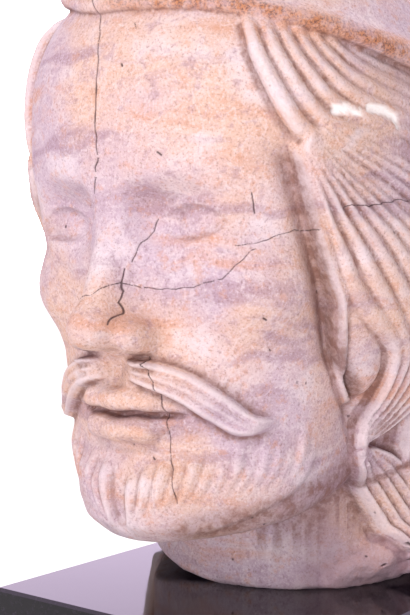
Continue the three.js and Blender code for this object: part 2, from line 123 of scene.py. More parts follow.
def egg(p, centre, radii, power):
    """An ellipsoid with squarer shoulders: power 2 is a plain ellipsoid."""
    scaled = [np.abs(p[i] - centre[i]) / radii[i] + 1e-6 for i in range(3)]
    raised = [v ** (power - 1) for v in scaled]
    total = sum(v * w for v, w in zip(scaled, raised))
    size = total ** (1 / power)
    slope = size / total * np.sqrt(sum((w / r) ** 2 for w, r in zip(raised, radii)))
    return (size - 1) / slope


def bar(p, start, end, start_radius, end_radius):
    """A round bar that tapers from start to end."""
    reach = [e - s for s, e in zip(start, end)]
    from_start = [v - s for v, s in zip(p, start)]
    share = sum(q * r for q, r in zip(from_start, reach)) / sum(r * r for r in reach)
    share = np.clip(share, 0, 1)
    off = np.sqrt(sum((q - share * r) ** 2 for q, r in zip(from_start, reach)))
    return off - (start_radius + (end_radius - start_radius) * share)


def skull(p):
    d = egg(p, (0, -18, 180), (80, 99, 86), 2.3)
    d = join(d, egg(p, (0, -60, 188), (66, 60, 58), 2.4), 16)
    return join(d, egg(p, (0, -54, 128), (62, 56, 74), 2.3), 20)


def beard_rise(y):
    """How much the beard's lower edge has risen, from the chin back to the ears."""
    return 0.3 * (y + 108)


def jaw(p):
    """The bearded jaw, with a rolled lower edge."""
    d = join(egg(p, (0, -51, 84), (59, 55, 89), 2.3), ellipsoid(p, (0, -90, 47), (27, 22, 25)), 12)
    rise = beard_rise(p[1])
    roll = 1.6 * bump(p[2], BEARD_EDGE + 6 + rise, 6)
    return keep(d - roll, BEARD_EDGE + rise - p[2], 3)


def nose(m):
    d = bar(m, (0, -106, 162), (0, -112, 108), 7, 12)
    d = join(d, bar(m, (0, -110, 161), (0, -125, 112), 4.6, 6.6), 7)
    d = join(d, ellipsoid(m, (0, -127, 107.5), (9, 9.5, 8.5)), 6)
    d = join(d, ellipsoid(m, (12, -116, 104.8), (6.2, 10, 7.2)), 4)
    d = keep(d, NOSE_BASE - m[2] - 0.16 * (m[1] + 122), 4)
    return carve(d, ellipsoid(m, (6.4, -120, NOSE_BASE - 0.5), (3.2, 5, 3.4)), 1.4)


def eye(m, d):
    """Blank almond eyes: a ball between two lids, under a crease."""
    x, y, z = m
    centre = (31, -92.5, EYE_HEIGHT)
    across = (x - centre[0]) / 17.5
    lean = 0.06 * (x - centre[0])
    upper = EYE_HEIGHT + 0.6 + lean + 7.6 * (1 - across**2)
    lower = EYE_HEIGHT - 0.6 + lean - 5.4 * (1 - across**2)
    lid = ellipsoid(m, centre, (20, 17.8, 18))
    lid = carve(lid, np.maximum(z - upper, lower - z), 0.7)
    lid = lid + 1.6 * bump(z, upper + 4.2, 1.4) * bump(x, centre[0], 16)
    d = join(d, lid, 4)
    return join(d, ellipsoid(m, centre, (16.8, 14.8, 15)), 0.4)


def mouth(m, d):
    x, y, z = m
    upper = bar(m, (0, -113.5, 81), (13, -110, 80.4), 4.8, 4.4)
    upper = join(upper, bar(m, (13, -110, 80.4), (26, -101, 76.4), 4.4, 1.4), 3)
    lower = bar(m, (0, -112, 69.8), (11, -109.5, 70.2), 5.8, 5.2)
    lower = join(lower, bar(m, (11, -109.5, 70.2), (24, -101, 75.4), 5.2, 1.4), 3)
    d = join(d, join(upper, lower, 1.2), 2.5)
    line = MOUTH_HEIGHT - 0.9 * bump(x, 0, 4) + 0.5 * bump(x, 9, 5)
    parting = 2.4 * bump(z, line, 1.3) * ease(29, 23, x)
    philtrum = 1.6 * bump(x, 0, 2.6) * ease(83, 87, z) * ease(98, 93, z)
    below_lip = 1.6 * bump(z, 61, 4) * bump(x, 0, 15)
    return d + (parting + philtrum + below_lip) * ease(-92, -98, y)


def face(p):
    m = (np.sqrt(p[0] ** 2 + 0.6), p[1], p[2])  # both halves of the face are alike
    d = join(skull(p), jaw(p), 12)
    d = join(d, ellipsoid(m, (43, -84, 122), (19, 18, 15)), 14)  # cheekbones
    d = join(d, ellipsoid(m, (0, -86, 84), (29, 25, 24)), 14)  # muzzle
    d = join(d, bar(m, (8, -109, 163), (26, -106, 170), 7, 6.5), 8)  # brows
    d = join(d, bar(m, (26, -106, 170), (44, -97, 171), 6.5, 6), 8)
    d = join(d, bar(m, (44, -97, 171), (59, -79, 161), 6, 5), 9)
    d = carve(d, ellipsoid(m, (31, -121.5, 147), (21, 17, 15.5)), 6)  # eye hollows
    d = carve(d, ellipsoid(m, (16, -122, 150), (8, 13, 10)), 6)
    d = join(d, nose(m), 7)
    d = eye(m, d)
    return mouth(m, d)


def neck(p):
    """The neck, its foot chipped away at the right front and at the back."""
    x, y, z = p
    side = np.hypot(x / 60, y / 59)
    d = keep((side - 1) * 57, z - 90, 10)
    around = np.degrees(np.arctan2(x, -y))
    chip = 8 * bump(around, -50, 30) + 4 * bump(around, 150, 22) + 5 * bump(around, -140, 25)
    return keep(d, chip * ease(0.7, 1, side) - z, 3)


def stump(p):
    """What is left of a broken shoulder at the left front of the neck."""
    d = bar(p, (47, -34, 7), (58, -14, 12), 5, 9)
    return join(d, bar(p, (58, -14, 12), (61, 8, 15), 9, 9), 4)


def below_rim(p):
    """How far a place is below the cap's edge.

    The edge is level over the brow, lower at the left ear and higher at the right.
    """
    x, y, z = p
    left_side = -0.1 * np.clip(y + 110, 0, 80) * ease(10, 50, x)
    right_side = 14 * ease(5, 65, -x)
    return 213.4 - 0.05 * x - 0.1 * y + (left_side + right_side) * ease(95, 10, y) - z


def cap(p):
    d = egg(p, (0, -18, 182), (86, 105, 93), 2.3)
    under = below_rim(p)
    return keep(d - 3 * bump(under, -5, 5), under, 3)


def hairline(z):
    """Angle from the middle of the face at which the hair begins."""
    return 36.5 + 0.235 * (206 - z) + 7 * ease(100, 80, z)


def set_back(x, z):
    """How much further back the hair begins at the right temple."""
    return np.where(np.asarray(x) < 0, 9 * ease(150, 215, z), 0)


def angle_from_face(p):
    return np.degrees(np.arctan2(np.abs(p[0]), HAIR_AXIS - p[1]))


def hair(p):
    x, y, z = p
    d = egg(p, (0, -12, 150), (82, 92, 104), 2.3)
    nape = keep((np.hypot(x / 64, (y - 8) / 63) - 1) * 60, z - 110, 20)
    d = join(d, nape, 22)
    d = keep(d, (hairline(z) + set_back(x, z) - angle_from_face(p)) * 1.4, 5)
    return keep(d, (np.clip(60 - 1.41 * (y + 47), 5, 60) - z) * 0.6, 5)


def hollow(p):
    """A groove sunk in the cheek and temple, just in front of the hair."""
    ahead = (hairline(p[2]) - angle_from_face(p)) * 1.3
    return HOLLOW_DEPTH * bump(ahead, 2.5, 4.5) * ease(60, 80, p[2]) * ease(180, 166, p[2])


def smooth_line(points, count):
    """Points along a smooth curve through the given ones."""
    points = np.array(points, float)
    before, after = 2 * points[0] - points[1], 2 * points[-1] - points[-2]
    padded = np.concatenate([[before], points, [after]])
    place = np.linspace(0, len(points) - 1, count)
    first = np.minimum(place.astype(int), len(points) - 2)
    t = (place - first)[:, None]
    a, b, c, d = (padded[first + i] for i in range(4))
    bend = (2 * a - 5 * b + 4 * c - d) * t**2 + (3 * b - a - 3 * c + d) * t**3
    return 0.5 * (2 * b + (c - a) * t + bend)


def spread(values, count):
    """The values at equal steps along a line, read off at count places."""
    return np.interp(np.linspace(0, 1, count), np.linspace(0, 1, len(values)), values)


def strand_half_width(one, two, strands):
    """Half width of each strand along a lock between two lines."""
    gap = np.hypot(*(two - one).T)
    return np.maximum(gap / strands * STRAND_SHARE, LEAST_HALF_WIDTH)


class Sheet:
    """Heights drawn on the head's unrolled surface, along it and up it in millimetres."""

    def __init__(self, cell):
        self.cell = cell
        self.along = np.arange(-SHEET_HALF_LENGTH, SHEET_HALF_LENGTH + cell, cell)
        self.up = np.arange(SHEET_FOOT, SHEET_TOP, cell)
        self.heights = np.zeros((len(self.along), len(self.up)))

    def window(self, low, high, margin):
        """Slices of the sheet that cover a box."""
        spans = []
        for axis, line in enumerate((self.along, self.up)):
            first = int((low[axis] - margin - line[0]) / self.cell)
            last = int((high[axis] + margin - line[0]) / self.cell) + 2
            spans.append(slice(max(first, 0), max(last, 0)))
        return tuple(spans)

    def strand(self, line, half_width, height, base, fade):
        """A rounded strand along a line, fading out over a share of its length at both ends."""
        last = len(line) - 1
        for i in range(last):
            a, b = line[i], line[i + 1]
            window = self.window(np.minimum(a, b), np.maximum(a, b), max(half_width[i : i + 2]))
            along, up = np.meshgrid(self.along[window[0]], self.up[window[1]], indexing="ij")
            if along.size == 0:
                continue
            reach = b - a
            share = ((along - a[0]) * reach[0] + (up - a[1]) * reach[1]) / (reach @ reach + 1e-9)
            share = np.clip(share, 0, 1)
            off = np.hypot(along - a[0] - share * reach[0], up - a[1] - share * reach[1])
            off = off / (half_width[i] + (half_width[i + 1] - half_width[i]) * share)
            travelled = (i + share) / last
            if fade > 0:
                ends = ease(0, fade, travelled) * ease(0, fade, 1 - travelled)
            else:
                ends = 1
            rise = (base + height * np.sqrt(np.maximum(1 - off**2, 0))) * ends
            target = self.heights[window]
            np.maximum(target, np.where(off < 1, rise, 0), out=target)

    def lock(self, one, two, strands, strand_height, dome, base, fade):
        """A lock of several strands between two edges, domed across its width."""
        one, two = smooth_line(one, LINE_SAMPLES), smooth_line(two, LINE_SAMPLES)
        half_width = strand_half_width(one, two, strands)
        for number in range(strands):
            share = (number + 0.5) / strands
            side = 2 * share - 1
            lift = base + dome * math.sqrt(1 - side**2)
            self.strand(one + (two - one) * share, half_width, strand_height, lift, fade)

    def softened(self, passes):
        """The heights, each pass blurred over one more cell."""
        h = self.heights.copy()
        for _ in range(passes):
            h[1:-1] = 0.5 * h[1:-1] + 0.25 * (h[2:] + h[:-2])
            h[:, 1:-1] = 0.5 * h[:, 1:-1] + 0.25 * (h[:, 2:] + h[:, :-2])
        return h

    def fill_gaps(self, depth):
        """Fills narrow gaps between locks to within depth of the hair around them."""
        self.heights = np.maximum(self.heights, self.softened(50) - depth)

    def height_at(self, p, heights=None):
        """The drawn height at places on the head, or that of other heights on the same sheet."""
        h = self.heights if heights is None else heights
        along = np.arctan2(p[0], HAIR_AXIS - p[1]) * HAIR_REACH
        u = np.clip((along - self.along[0]) / self.cell, 0, len(self.along) - 1.001)
        v = np.clip((p[2] - self.up[0]) / self.cell, 0, len(self.up) - 1.001)
        i, j = u.astype(int), v.astype(int)
        u, v = u - i, v - j
        near = h[i, j] * (1 - u) + h[i + 1, j] * u
        far = h[i, j + 1] * (1 - u) + h[i + 1, j + 1] * u
        return near * (1 - v) + far * v


# Locks of hair between two edges, each edge as (angle from the face, height). Then come the
# number of strands, each strand's height, the lock's dome, the step at its edge and the share
# of its length over which its ends fade.
SIDE_LOCKS = [
    # temple: down from the rim, then back to a curled end
    (
        [(31, 236), (33, 220), (35, 206), (38, 195), (42, 183), (46, 176)]
        + [(54, 173), (66, 173), (73, 170), (78, 163), (81, 151)],
        [(57, 240), (60, 229), (63, 221), (67, 216), (74, 213), (83, 211)]
        + [(92, 208), (101, 199), (106, 186), (105, 171), (97, 156)],
        8, 5.0, 1.6, 0.8, 0.04,
    ),
    # cheek: curls back round the ear lobe to a knot
    (
        [(45.5, 177), (48.6, 162), (52, 148), (55.5, 136), (59.5, 122), (65, 113.5)]
        + [(72, 107), (78, 99), (80, 90), (79.5, 80), (76.8, 68), (76.4, 58.5)],
        [(46, 184), (56, 170), (69, 159), (82, 147.5), (95, 134), (103, 117)]
        + [(105, 100), (103, 86), (97, 74), (90, 66), (83, 61), (77.5, 57.5)],
        6, 5.4, 1.8, 1.0, 0.03,
    ),
    # behind it, down to the nape
    (
        [(46, 183), (56, 169.5), (69, 158.5), (82, 147), (95, 133.5), (103, 117)]
        + [(105, 100), (103, 84), (98, 68), (98.5, 52), (104, 36), (111, 18)],
        [(49, 187), (63, 180), (82, 172), (100, 160), (114, 145), (122, 127)]
        + [(125, 108), (124, 88), (121, 70), (119, 54), (118, 38), (114, 16)],
        5, 5.2, 1.8, 0.8, 0.04,
    ),
    # behind the ear
    (
        [(94, 191), (101, 176), (104, 164), (113, 149), (122, 129), (125, 110)]
        + [(125, 92), (122, 75), (119, 59), (119, 42), (117, 20)],
        [(106, 210), (113, 192), (117, 173), (124, 153), (131, 134), (135, 114)]
        + [(136, 94), (134, 76), (132, 58), (131, 40), (124, 18)],
        3, 4.8, 1.6, 0.8, 0.05,
    ),
    # above it, from the rim down
    (
        [(95, 218), (104, 206), (109, 191), (110, 176), (113, 160)],
        [(110, 220), (116, 207), (121, 193), (123, 176), (124, 156)],
        3, 4.6, 1.4, 0.8, 0.08,
    ),
    # neck, down from the knot
    (
        [(76.6, 59), (78.5, 50), (83, 41), (90, 29), (96, 17), (101, 6)],
        [(78, 60), (88, 58), (99, 52), (108, 40), (115, 26), (121, 8)],
        5, 5.0, 1.6, 1.0, 0.05,
    ),
]
FRONT_STRAND = (
    [(45, 179), (46.7, 169), (49.1, 156.6), (52, 144.2), (54.4, 135), (57, 126), (59.3, 118.5)]
    + [(60.6, 107), (62, 96), (64.5, 86.5), (69, 79.5), (75, 77)]
)
FRONT_STRAND_HALF_WIDTHS = [3.2, 3.2, 2.8, 1.8, 1.5]
EAR_LOBE = [(60.2, 119), (63.5, 112), (66.5, 105), (70, 97), (71.5, 90.5)]
EAR_LOBE_HALF_WIDTHS = [1.5, 4, 7, 10, 10.5]

# Waved locks down the back, from behind one ear to behind the other: the sway in degrees at
# each height
BACK_LOCK_START = 125
BACK_LOCK_WIDTH = 13.75
BACK_LOCK_COUNT = 8
BACK_LOCK_SIZES = (3, 4.8, 2.0, 0.8, 0.04)  # in the order of SIDE_LOCKS
BACK_WAVE = [(-2, 218), (4, 190), (3, 162), (-3, 134), (-1, 106), (4, 80), (2, 54)]

# Moustache and beard are drawn as (along, height) in millimetres
MOUSTACHE_SIZES = (3, 2.6, 2.2, 0.2, 0.16)  # in the order of SIDE_LOCKS
MOUSTACHE = (
    [(3, 97), (16, 96), (30, 92), (43, 84), (54, 76.5), (66, 74)],
    [(3, 89), (14, 86.5), (26, 81), (37, 74), (48, 69), (64, 71.5)],
)
# The beard's strands start upright between these two lines and sweep forward to the chin's tip
BEARD_FRONT = [(4, 58), (4, 50), (3.6, 42), (3, 35), (2, 29)]
BEARD_BACK = [(86, 74), (84, 61), (73, 48), (46, 36), (13, 26)]
BEARD_STRANDS = 14


def unrolled(side, pairs):
    """(angle, height) pairs on the unrolled sheet, on the figure's left (1) or right (-1)."""
    angles, heights = np.array(pairs, float).T
    angles = angles + set_back(side, heights)
    return np.stack([side * np.radians(angles) * HAIR_REACH, heights], 1)


def draw_back(sheet):
    for number in range(BACK_LOCK_COUNT):
        start = BACK_LOCK_START + BACK_LOCK_WIDTH * number
        foot_height = 20 + 7 * math.sin(2.1 * number)
        edges = []
        for angle, turn in ((start, -2.5), (start + BACK_LOCK_WIDTH, 2.5)):
            edge = [(angle + sway, z) for sway, z in BACK_WAVE]
            edge.append((start + BACK_LOCK_WIDTH / 2 + turn, foot_height))
            edges.append(unrolled(1, edge))
        for lap in (0, math.tau * HAIR_REACH):  # the sheet's two ends meet at the back
            one, two = (edge - (lap, 0) for edge in edges)
            sheet.lock(one, two, *BACK_LOCK_SIZES)


def draw_beard(sheet, side):
    mirror = np.array([side, 1])
    one, two = (np.array(edge) * mirror for edge in MOUSTACHE)
    sheet.lock(one, two, *MOUSTACHE_SIZES)
    edges = (np.array(edge) * mirror for edge in (BEARD_FRONT, BEARD_BACK))
    front, back = (smooth_line(edge, LINE_SAMPLES) for edge in edges)
    half_width = strand_half_width(front, back, BEARD_STRANDS)
    for number in range(BEARD_STRANDS):
        share = (number + 0.5) / BEARD_STRANDS
        first = int(6 + 5 * math.sin(2.4 * number + side))  # some start lower than others
        line = (front + (back - front) * share)[first:]
        sheet.strand(line, half_width[first:], height=3.6 - 1.6 * share, base=0, fade=0.24)


def draw_hair():
    sheet = Sheet(SHEET_CELL)
    for side in (1, -1):
        for one, two, *sizes in SIDE_LOCKS:
            sheet.lock(unrolled(side, one), unrolled(side, two), *sizes)
        lobe = smooth_line(unrolled(side, EAR_LOBE), LOBE_SAMPLES)
        lobe_widths = spread(EAR_LOBE_HALF_WIDTHS, LOBE_SAMPLES)
        sheet.strand(lobe, lobe_widths, height=3.4, base=1.2, fade=0)
        front = smooth_line(unrolled(side, FRONT_STRAND), LINE_SAMPLES)
        front_widths = spread(FRONT_STRAND_HALF_WIDTHS, LINE_SAMPLES)
        sheet.strand(front, front_widths, height=4.8, base=1.4, fade=0.1)
        draw_beard(sheet, side)
    draw_back(sheet)
    sheet.fill_gaps(GAP_DEPTH)
    sheet.heights = sheet.softened(1)
    return sheet


locks = draw_hair()


def head(p):
    """The whole head."""
    d = face(p) + hollow(p)
    d = join(d, neck(p), 2)
    d = join(d, stump(p), 2)
    d = join(d, hair(p), 2)
    d = d - locks.height_at(p) * (0.4 + 0.6 * ease(-2, 18, below_rim(p)))  # flatter at the rim
    d = join(d, cap(p), 1)
    return keep(d, -p[2], 0.1)


# Meshing a distance field


def grid_lines(low, high, cell):
    return np.arange(low, high + cell, cell)


def sample_field(field, lines):
    """The field at the crossings of the grid lines, exact near the surface only."""
    stride = 3
    near = 9.0
    picks = [np.unique(np.append(np.arange(0, len(line), stride), len(line) - 1)) for line in lines]
    rough_lines = [line[pick] for line, pick in zip(lines, picks)]
    values = field(np.meshgrid(*rough_lines, indexing="ij"))
    for axis in range(3):
        spots = np.interp(lines[axis], rough_lines[axis], np.arange(len(rough_lines[axis])))
        first = np.minimum(spots.astype(int), len(rough_lines[axis]) - 2)
        shape = [1, 1, 1]
        shape[axis] = -1
        share = (spots - first).reshape(shape)
        lower, upper = np.take(values, first, axis), np.take(values, first + 1, axis)
        values = lower + (upper - lower) * share
    close = np.argwhere(np.abs(values) < near)
    for chunk in np.array_split(close, max(len(close) // 300000, 1)):
        i, j, k = chunk.T
        values[i, j, k] = field((lines[0][i], lines[1][j], lines[2][k]))
    return values


CORNERS = [(number & 1, number >> 1 & 1, number >> 2) for number in range(8)]


def hang_together(chosen):
    """Whether a cell's chosen corners hang together along its edges."""
    reached = chosen & -chosen
    for _ in range(4):
        for corner, step in itertools.product(range(8), (1, 2, 4)):
            if reached >> corner & 1:
                reached |= chosen & (1 << (corner ^ step))
    return reached == chosen


def remove_pinches(values):
    """Nudges single values across zero until the surface nowhere pinches itself in a cell."""
    nudge = 0.02
    sound = np.array([hang_together(code) and hang_together(255 ^ code) for code in range(256)])
    size = [length - 1 for length in values.shape]

    def inside_code(cell):
        return sum(int(values[tuple(cell + step)] < 0) << n for n, step in enumerate(CORNERS))

    while True:
        codes = np.zeros(size, np.uint8)
        for number, step in enumerate(CORNERS):
            part = tuple(slice(s, s + length) for s, length in zip(step, size))
            codes |= (values[part] < 0).astype(np.uint8) << number
        pinched = np.argwhere(~sound[codes])
        if len(pinched) == 0:
            return
        for cell in pinched:
            code = inside_code(cell)
            if sound[code]:
                continue
            from_inside = not hang_together(code)
            corners = [tuple(cell + step) for step in CORNERS]
            loose = [corner for corner in corners if (values[corner] < 0) == from_inside]
            weakest = min(loose, key=lambda corner: abs(values[corner]))
            values[weakest] = nudge if from_inside else -nudge


def surface_mesh(values, lines):
    """Points and quads of the zero surface: a point in each cell that it passes through."""
    inside = values < 0
    cells_along = np.array(values.shape) - 1
    strides = np.array([cells_along[1] * cells_along[2], cells_along[2], 1])
    cells, crossings, quads = [], [], []
    for axis in range(3):
        low = tuple(slice(0, -1) if i == axis else slice(None) for i in range(3))
        high = tuple(slice(1, None) if i == axis else slice(None) for i in range(3))
        start = np.argwhere(inside[low] != inside[high])
        others = [i for i in range(3) if i != axis]
        within = (start[:, others] > 0) & (start[:, others] < cells_along[others])
        start = start[within.all(axis=1)]
        end = start.copy()
        end[:, axis] += 1
        near, far = values[tuple(start.T)], values[tuple(end.T)]
        crossing = np.stack([lines[i][start[:, i]] for i in range(3)], 1)
        step = lines[axis][end[:, axis]] - lines[axis][start[:, axis]]
        crossing[:, axis] += near / (near - far) * step
        ring = []
        for turn in ((0, 0), (-1, 0), (-1, -1), (0, -1)):
            cell = start.copy()
            cell[:, (axis + 1) % 3] += turn[0]
            cell[:, (axis + 2) % 3] += turn[1]
            ring.append(cell @ strides)
        cells += ring
        crossings += [crossing] * 4
        quad = np.stack(ring, 1)
        outward = near < 0
        quads.append(np.where(outward[:, None], quad, quad[:, ::-1]))
    used, owner = np.unique(np.concatenate(cells), return_inverse=True)
    crossings = np.concatenate(crossings)
    hits = np.bincount(owner)
    points = np.stack([np.bincount(owner, crossings[:, i]) / hits for i in range(3)], 1)
    quads = np.concatenate(quads)
    return points, np.searchsorted(used, quads)


def slope_at(field, points, gap=0.2):
    value = field(points.T)
    steps = np.eye(3) * gap
    slope = np.stack([field((points + step).T) - value for step in steps], 1) / gap
    return value, slope


def settle(field, points, reach, passes=2):
    """Moves points along the slope onto the surface, never further than reach at a time."""
    for _ in range(passes):
        value, slope = slope_at(field, points)
        move = -value[:, None] * slope / ((slope**2).sum(1) + 1e-6)[:, None]
        length = np.linalg.norm(move, axis=1, keepdims=True)
        points = points + move * np.minimum(1, reach / (length + 1e-9))
    return points


def outward_at(field, points):
    _, slope = slope_at(field, points, 0.5)
    return slope / (np.linalg.norm(slope, axis=1, keepdims=True) + 1e-9)


# Random unevenness

RANDOM_SIZE = 32
RANDOM_VALUES = np.random.default_rng(11).uniform(-1, 1, (RANDOM_SIZE,) * 3)


def unevenness(points, size, shift=0):
    """Smooth random values from -1 to 1 that change over about size millimetres."""
    scaled = points / size + shift
    first = np.floor(scaled).astype(int)
    share = ease(0, 1, scaled - first)
    total = np.zeros(len(points))
    for step in itertools.product((0, 1), repeat=3):
        weight = np.prod(np.where(step, share, 1 - share), axis=1)
        i, j, k = ((first + step) % RANDOM_SIZE).T
        total += weight * RANDOM_VALUES[i, j, k]
    return total


# Cracks as (angle from the face, height) pairs, with their width and depth in millimetres
CRACKS = [
    # down the brow to the root of the nose
    (
        [(-9, 246), (-7, 232), (-4, 222), (-2.8, 216), (-1.6, 208), (-1.1, 196), (-1.2, 186)]
        + [(-1.2, 180), (-1, 170), (-1.8, 167), (-2.9, 158)],
        0.6, 0.8,
    ),
    # across the nose and the left cheek
    (
        [(-16, 118), (-6, 119.5), (0.7, 120.6), (4.4, 125), (7.8, 123.3), (13.2, 122.7)]
        + [(21.3, 123.2), (24.5, 125.5), (28.9, 126.6), (31.7, 131.3), (35.3, 136.3), (36.7, 137.4)],
        0.42, 0.5,
    ),
    ([(31.9, 138.8), (37.6, 139.9), (41.2, 142), (46.1, 144.3), (51.6, 144.3)], 0.4, 0.4),
    ([(56.7, 152.2), (58.7, 153.3), (64.5, 152.8), (74.5, 155.9), (79.6, 155.3)], 0.45, 0.5),
    # beside the nose, then down through the mouth and the beard
    (
        [(5, 130.4), (4.6, 125.5), (5.3, 122), (4.6, 118), (5.4, 114), (5.2, 110)],
        0.42, 0.5,
    ),
    (
        [(9.8, 97.5), (10.6, 94.5), (10.9, 91.8), (11.8, 88.1), (12.8, 82.9), (13.1, 78.2)]
        + [(13.9, 70.6), (13.8, 61.9), (14.9, 53.9), (16, 47.1), (16.5, 43.4)],
        0.42, 0.5,
    ),
    ([(6.6, 132.6), (8.2, 140.3), (10.2, 143.7), (10.9, 148.5)], 0.45, 0.4),
    # beside the left eye
    ([(35.3, 157.7), (35.8, 153.1), (36.2, 149.9)], 0.6, 0.5),
    # small pits and nicks
    ([(5.7, 204.6), (6.1, 203.8)], 0.9, 0.6),
    ([(7.0, 220), (7.8, 217.6)], 0.5, 0.4),
    ([(15.2, 171.8), (16, 171)], 0.9, 0.6),
    ([(3, 64.6), (3.3, 64)], 0.9, 0.6),
    ([(9.2, 59.6), (9.7, 59)], 0.8, 0.5),
    ([(38.3, 112.5), (38.8, 112)], 0.9, 0.6),
    ([(40, 100.8), (40.4, 100.3)], 0.8, 0.5),
    ([(92.6, 9.4), (93.0, 9.8)], 1.2, 1.0),
    ([(96.2, 19), (96.6, 18.4)], 1.3, 1.0),
    ([(88.4, 13.2), (88.8, 13.2)], 0.9, 0.7),
    ([(98.8, 11.2), (99.2, 11)], 0.8, 0.6),
]

# Chips in the hair that are filled with white plaster
FILLS = [
    ([(54.4, 187), (56.6, 188.2)], 1.9),
    ([(58.8, 187.4), (60.2, 187)], 1.3),
    ([(63.8, 188.6), (67.5, 188), (70.2, 186.6)], 2.0),
    ([(71.6, 185.4), (73.2, 183.2)], 1.5),
]


def line_distance(points, pairs):
    """Distance of points on the unrolled surface from the line through (angle, height) pairs."""
    along = np.arctan2(points[:, 0], HAIR_AXIS - points[:, 1]) * HAIR_REACH
    along = along + 0.5 * unevenness(points, 3.5, 5)
    up = points[:, 2] + 0.5 * unevenness(points, 3.5, 9)
    line = np.array(pairs, float)
    line[:, 0] = np.radians(line[:, 0]) * HAIR_REACH
    nearest = np.full(len(points), np.inf)
    for a, b in zip(line[:-1], line[1:]):
        reach = b - a
        share = ((along - a[0]) * reach[0] + (up - a[1]) * reach[1]) / (reach @ reach)
        share = np.clip(share, 0, 1)
        off = np.hypot(along - a[0] - share * reach[0], up - a[1] - share * reach[1])
        nearest = np.minimum(nearest, off)
    return nearest


def crack_shares(points):
    """How deep each point lies in a crack, from 0 to 1, and the depth that this stands for."""
    share = np.zeros(len(points))
    depth = np.zeros(len(points))
    for pairs, width, deepest in CRACKS:
        here = np.clip(1 - line_distance(points, pairs) / (width * 0.75), 0, 1)
        depth = np.maximum(depth, here * deepest)
        share = np.maximum(share, here)
    return share, depth


def fill_shares(points):
    """1 in the plaster fills, 0 outside."""
    ragged = 0.8 * unevenness(points, 1.8, 21)
    shares = []
    for pairs, half_width in FILLS:
        off = line_distance(points, pairs) + ragged
        shares.append(ease(half_width * 1.2, half_width * 0.6, off))
    return np.max(shares, axis=0)


def near_crack(points):
    off = [line_distance(points, pairs) for pairs, _, _ in CRACKS]
    return np.min(off, axis=0) < CRACK_REACH


def mesh_from(points, faces):
    mesh = bpy.data.meshes.new("carved_head")
    mesh.from_pydata(points.tolist(), [], faces.tolist())
    mesh.update()
    return mesh


def points_of(mesh):
    points = np.empty(len(mesh.vertices) * 3)
    mesh.vertices.foreach_get("co", points)
    return points.reshape(-1, 3)


def thinned(mesh, triangles):
    """The mesh with its flattest places thinned out."""
    worker = bpy.data.objects.new("thinned", mesh)
    bpy.context.scene.collection.objects.link(worker)
    modifier = worker.modifiers.new("thin", "DECIMATE")
    modifier.ratio = triangles / (2 * len(mesh.polygons))
    modifier.use_collapse_triangulate = True
    bpy.context.view_layer.update()
    evaluated = worker.evaluated_get(bpy.context.evaluated_depsgraph_get())
    result = bpy.data.meshes.new_from_object(evaluated)
    bpy.data.objects.remove(worker)
    return result


def refine_cracks(mesh):
    """Splits the edges along the cracks until they are short enough to carry them."""
    shape = bmesh.new()
    shape.from_mesh(mesh)
    for _ in range(4):
        shape.verts.index_update()
        points = np.array([v.co for v in shape.verts])
        near = near_crack(points)
        long_edges = [
            edge
            for edge in shape.edges
            if (near[edge.verts[0].index] or near[edge.verts[1].index])
            and edge.calc_length() > CRACK_CELL * 1.5
        ]
        if not long_edges:
            break
        bmesh.ops.subdivide_edges(shape, edges=long_edges, cuts=1, use_grid_fill=False)
        bmesh.ops.triangulate(shape, faces=[face for face in shape.faces if len(face.verts) > 3])
    shape.to_mesh(mesh)
    shape.free()


def weather(points, outward):
    """Moves the surface as wear, tool work, breaks and cracks leave it."""
    x, y, z = points.T
    wear = 0.3 * unevenness(points, 17) + 0.16 * unevenness(points, 6, 3)
    wear = wear + 0.07 * unevenness(points, 2.4, 7)
    broken = ease(26, 12, z) * ease(30, 44, x) * ease(-60, -42, y)
    foot = ease(9, 2, z)
    rough = 1.3 * unevenness(points, 8, 13) + 0.9 * unevenness(points, 3.5, 17)
    share, depth = crack_shares(points)
    fill = fill_shares(points)
    move = wear + rough * np.maximum(broken, 0.5 * foot) - depth - 0.9 * fill
    marks = {"crack": share, "broken": broken, "fill": fill}
    return points + outward * move[:, None], marks


def closeness(points, outward, reach):
    """How much stone stands round a point within reach: 0 in the open, 1 deep in a groove."""
    return np.clip(1 - head((points + outward * reach).T) / reach, 0, 1)


def carve_mesh():
    """The head's fine mesh in millimetres, refined along the cracks."""
    lines = [grid_lines(low, high, MESH_CELL) for low, high in MESHED_SPANS]
    values = sample_field(head, lines)
    remove_pinches(values)
    points, quads = surface_mesh(values, lines)
    points = settle(head, points, MESH_CELL / 3)
    mesh = thinned(mesh_from(points, quads), HEAD_TRIANGLES)
    refine_cracks(mesh)
    return mesh


